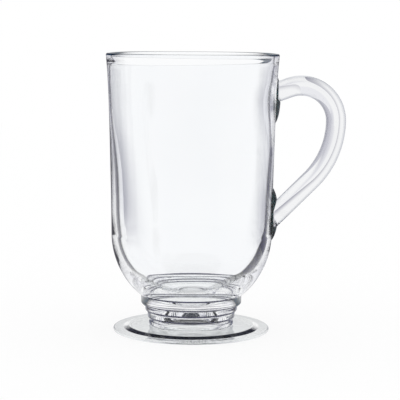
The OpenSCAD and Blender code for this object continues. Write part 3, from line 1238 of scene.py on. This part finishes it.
@dataclass(frozen=True)
class Surround:
    """The studio as glass sees it: a colour for each turn in degrees away from straight behind the mug."""

    panels: tuple[tuple[float, Colour], ...] = (
        (-180.0, (0.75, 0.75, 0.76)),
        (-110.0, (0.85, 0.85, 0.86)),
        (-78.0, WHITE),
        (-70.0, (0.75, 0.75, 0.8)),
        (-67.0, (0.03, 0.03, 0.07)),
        (-58.0, (0.02, 0.02, 0.06)),
        (-54.0, (0.12, 0.12, 0.18)),
        (-47.0, (0.25, 0.25, 0.33)),
        (-43.0, (0.55, 0.55, 0.63)),
        (-36.0, (0.7, 0.7, 0.76)),
        (-27.0, (0.65, 0.65, 0.71)),
        (-14.0, (0.8, 0.8, 0.84)),
        (-8.5, WHITE),
        (9.0, WHITE),
        (13.0, (0.8, 0.8, 0.84)),
        (26.0, (0.55, 0.55, 0.62)),
        (30.0, (0.4, 0.4, 0.47)),
        (60.0, (0.4, 0.4, 0.46)),
        (76.0, (0.6, 0.6, 0.66)),
        (80.0, WHITE),
        (110.0, (0.85, 0.85, 0.86)),
        (180.0, (0.75, 0.75, 0.76)),
    )
    behind: float = 0.5
    full_turn: float = 360.0
    floor_span: Span = (-0.65, -0.45)
    sky: Colour = (0.9, 0.9, 0.93)
    sky_span: Span = (-0.02, 0.06)
    ceiling: Colour = (0.03, 0.035, 0.05)
    ceiling_span: Span = (0.8, 0.85)
    mirror: Colour = (0.1, 0.1, 0.14)
    mirror_start: Span = (math.radians(6.0), math.radians(12.0))
    mirror_end: Span = (math.radians(84.0), math.radians(78.0))

    def group(self) -> Tree:
        """The node group that turns a direction from the mug into the surround's colour.

        The turn runs along a colour ramp, on which straight behind the mug lies in the middle. Spans are
        heights of the direction: white under the floor's, the panels, the sky over them, and the ceiling.

        Returns:
            The group, built once.
        """
        name = "Studio surround"
        if name in bpy.data.node_groups:
            return bpy.data.node_groups[name]
        inputs = {"Direction": "Vector", "Mirrored": "Float"}
        tree, given, result = new_group(name, inputs, {"Color": "Color"})
        parts = add_node(tree, "SeparateXYZ", {"Vector": given.outputs["Direction"]}).outputs
        turn = add_math(tree, "ARCTAN2", parts["X"], parts["Y"])
        place = add_math(tree, "MULTIPLY_ADD", turn, 1.0 / FULL_CIRCLE, self.behind)
        ramp = add_node(tree, "ValToRGB", {"Fac": place})
        stops = ramp.color_ramp.elements
        while len(stops) < len(self.panels):
            stops.new(1.0)
        for stop, (angle, colour) in zip(stops, self.panels):
            stop.position = self.behind + angle / self.full_turn
            stop.color = (*colour, 1.0)
        height = parts["Z"]
        panels = add_mix(tree, add_step(tree, height, *self.sky_span), ramp.outputs["Color"], self.sky)
        ring = add_mix(tree, add_step(tree, height, *self.floor_span), WHITE, panels)
        aside = add_math(tree, "ABSOLUTE", turn)
        begin, end = add_step(tree, aside, *self.mirror_start), add_step(tree, aside, *self.mirror_end)
        ring = add_mix(tree, add_product(tree, begin, end, given.outputs["Mirrored"]), ring, self.mirror)
        colour = add_mix(tree, add_step(tree, height, *self.ceiling_span), ring, self.ceiling)
        feed(tree, result.inputs["Color"], colour)
        return tree

    def add(self, tree: Tree, direction: Socket, mirrored: Socket) -> Socket:
        """Places the group in a tree.

        Args:
            tree: the world's or a material's node tree.
            direction: the direction from the mug.
            mirrored: 1 where the surround is mirrored and not seen through the glass.
        Returns:
            The surround's colour, with darker sides where it is mirrored.
        """
        values = {"Direction": direction, "Mirrored": mirrored}
        return add_node(tree, "Group", values, node_tree=self.group()).outputs["Color"]


@dataclass(frozen=True)
class Card:
    """A card that stands close behind the mug and that only glass sees.

    Its edges, as wide as margin, lean outwards with height and glow with the colour of its sides, which
    fades in over low_span.
    """

    name: str
    left: float
    right: float
    behind: float
    colour: Colour
    sides: Colour
    margin: float
    low: float = 1.0 * MM
    high: float = 200.0 * MM
    lean: float = 0.15
    low_span: Span = (10.0 * MM, 50.0 * MM)

    def build(self) -> bpy.types.Object:
        """Stands the card up and hides it from the camera, the floor and the shadows.

        Returns:
            The card.
        """
        left, right, low, high = self.left, self.right, self.low, self.high
        corners = [(x, self.behind, z) for x, z in ((left, low), (right, low), (right, high), (left, high))]
        mesh = bpy.data.meshes.new(self.name)
        mesh.from_pydata(corners, [], [range(len(corners))])
        card = new_object(self.name, mesh)
        card.visible_camera = card.visible_diffuse = card.visible_shadow = False
        material, tree = new_material(self.name)
        place = add_node(tree, "TexCoord", {}).outputs["Object"]
        parts = add_node(tree, "SeparateXYZ", {"Vector": place}).outputs
        half = (right - left) / 2
        off = add_math(tree, "SUBTRACT", parts["X"], (left + right) / 2)
        off = add_math(tree, "MULTIPLY_ADD", parts["Z"], -self.lean, add_math(tree, "ABSOLUTE", off))
        above = add_step(tree, parts["Z"], *self.low_span)
        share = add_product(tree, add_step(tree, off, half - self.margin, half), above)
        glow = add_node(tree, "Emission", {"Color": add_mix(tree, share, self.colour, self.sides)})
        add_node(tree, "OutputMaterial", {"Surface": glow.outputs["Emission"]})
        mesh.materials.append(material)
        return card


@dataclass(frozen=True)
class Studio:
    """The camera, the floor and the light round the mug."""

    camera_place: Place = (0.0041, -0.7542, 0.155)
    camera_tilt: float = math.radians(6.718)
    camera_roll: float = math.radians(0.42)
    sensor: float = 36.0
    lens: float = 135.4
    floor_radius: float = 1.5
    floor_corners: int = 128
    floor_glow: float = 0.85
    near_centre: Span = (-0.06, 0.0)
    far_span: Span = (0.32, 0.5)
    mirror_span: Span = (0.06, 0.1)
    light_bounces: int = 32
    surround: Surround = Surround()
    cards: tuple[Card, ...] = (
        Card(
            "white_card", left=-0.055, right=0.06, behind=0.11,
            colour=WHITE, sides=(0.24, 0.24, 0.32), margin=0.032),
        Card(
            "grey_card", left=0.093, right=0.25, behind=0.06,
            colour=(0.4, 0.4, 0.46), sides=(0.65, 0.65, 0.71), margin=0.06),
    )

    def build_camera(self) -> bpy.types.Object:
        """Places the camera at the photograph's viewing angle.

        Returns:
            The camera.
        """
        data = bpy.data.cameras.new("camera")
        data.sensor_width = self.sensor
        data.lens = self.lens
        camera = new_object("camera", data)
        tilt = Matrix.Rotation(math.pi / 2 - self.camera_tilt, 4, "X")
        roll = Matrix.Rotation(self.camera_roll, 4, "Z")
        camera.matrix_world = Matrix.Translation(Vector(self.camera_place)) @ tilt @ roll
        bpy.context.scene.camera = camera
        return camera

    def build_floor(self) -> bpy.types.Object:
        """Lays the white floor: mostly its own white, with a part that takes the mug's shadow.

        Its far part shows the surround where it is seen through glass, and so does all but its middle
        where it is mirrored in glass.

        Returns:
            The floor.
        """
        angle = circle_angles(self.floor_corners)
        rim = np.stack([np.cos(angle), np.sin(angle), np.zeros_like(angle)], axis=1) * self.floor_radius
        mesh = bpy.data.meshes.new("floor")
        mesh.from_pydata(rim.tolist(), [], [range(len(rim))])
        floor = new_object("floor", mesh)
        material, tree = new_material("white_floor")
        place = add_node(tree, "TexCoord", {}).outputs["Object"]
        centre = {0: place, 1: (*self.near_centre, 0.0)}
        shifted = add_node(tree, "VectorMath", centre, operation="SUBTRACT").outputs["Vector"]
        far = add_step(tree, add_length(tree, shifted), *self.far_span)
        outer = add_step(tree, add_length(tree, place), *self.mirror_span)
        path = add_node(tree, "LightPath", {}).outputs
        bent = add_math(tree, "MAXIMUM", path["Is Transmission Ray"], path["Is Glossy Ray"])
        mirrored = path["Is Reflection Ray"]
        seen, shown = add_product(tree, far, bent), add_product(tree, outer, mirrored)
        share = add_math(tree, "MAXIMUM", seen, shown)
        colour = add_mix(tree, share, WHITE, self.surround.add(tree, place, mirrored))
        plain = add_node(tree, "BsdfDiffuse", {"Color": WHITE})
        glow = add_node(tree, "Emission", {"Color": colour})
        both = {"Fac": self.floor_glow, 1: plain.outputs["BSDF"], 2: glow.outputs["Emission"]}
        add_node(tree, "OutputMaterial", {"Surface": add_node(tree, "MixShader", both).outputs["Shader"]})
        mesh.materials.append(material)
        return floor

    def build_world(self) -> bpy.types.World:
        """Lights the scene evenly: the camera and diffuse light see white, and glass sees the surround.

        Returns:
            The world.
        """
        world = bpy.data.worlds.new("studio")
        bpy.context.scene.world = world
        world.use_nodes = True
        tree = world.node_tree
        tree.nodes.clear()
        path = add_node(tree, "LightPath", {}).outputs
        plain = add_math(tree, "MAXIMUM", path["Is Camera Ray"], path["Is Diffuse Ray"])
        direction = add_node(tree, "TexCoord", {}).outputs["Generated"]
        around = self.surround.add(tree, direction, path["Is Reflection Ray"])
        background = add_node(tree, "Background", {"Color": add_mix(tree, plain, around, WHITE)})
        add_node(tree, "OutputWorld", {"Surface": background.outputs["Background"]})
        return world

    def build(self) -> None:
        """Builds the camera, floor and light, and sets how colours show and how far light runs in glass."""
        self.build_camera()
        self.build_floor()
        for card in self.cards:
            card.build()
        self.build_world()
        bpy.context.scene.view_settings.view_transform = "Standard"
        paths = bpy.context.scene.cycles
        paths.max_bounces = paths.glossy_bounces = self.light_bounces
        paths.transmission_bounces = paths.transparent_max_bounces = self.light_bounces
        log.info("studio: camera %s", self.camera_place)


def main() -> None:
    """Builds the studio, the vessel, the handle and its pads."""
    logging.basicConfig(level=logging.INFO, format="%(name)s %(message)s")
    Studio().build()
    vessel = Vessel()
    vessel.build_bowl()
    vessel.build_stem()
    vessel.build_foot()
    handle = Handle(vessel)
    handle.build_handle()
    handle.build_pads()


if __name__ == "__main__":
    main()
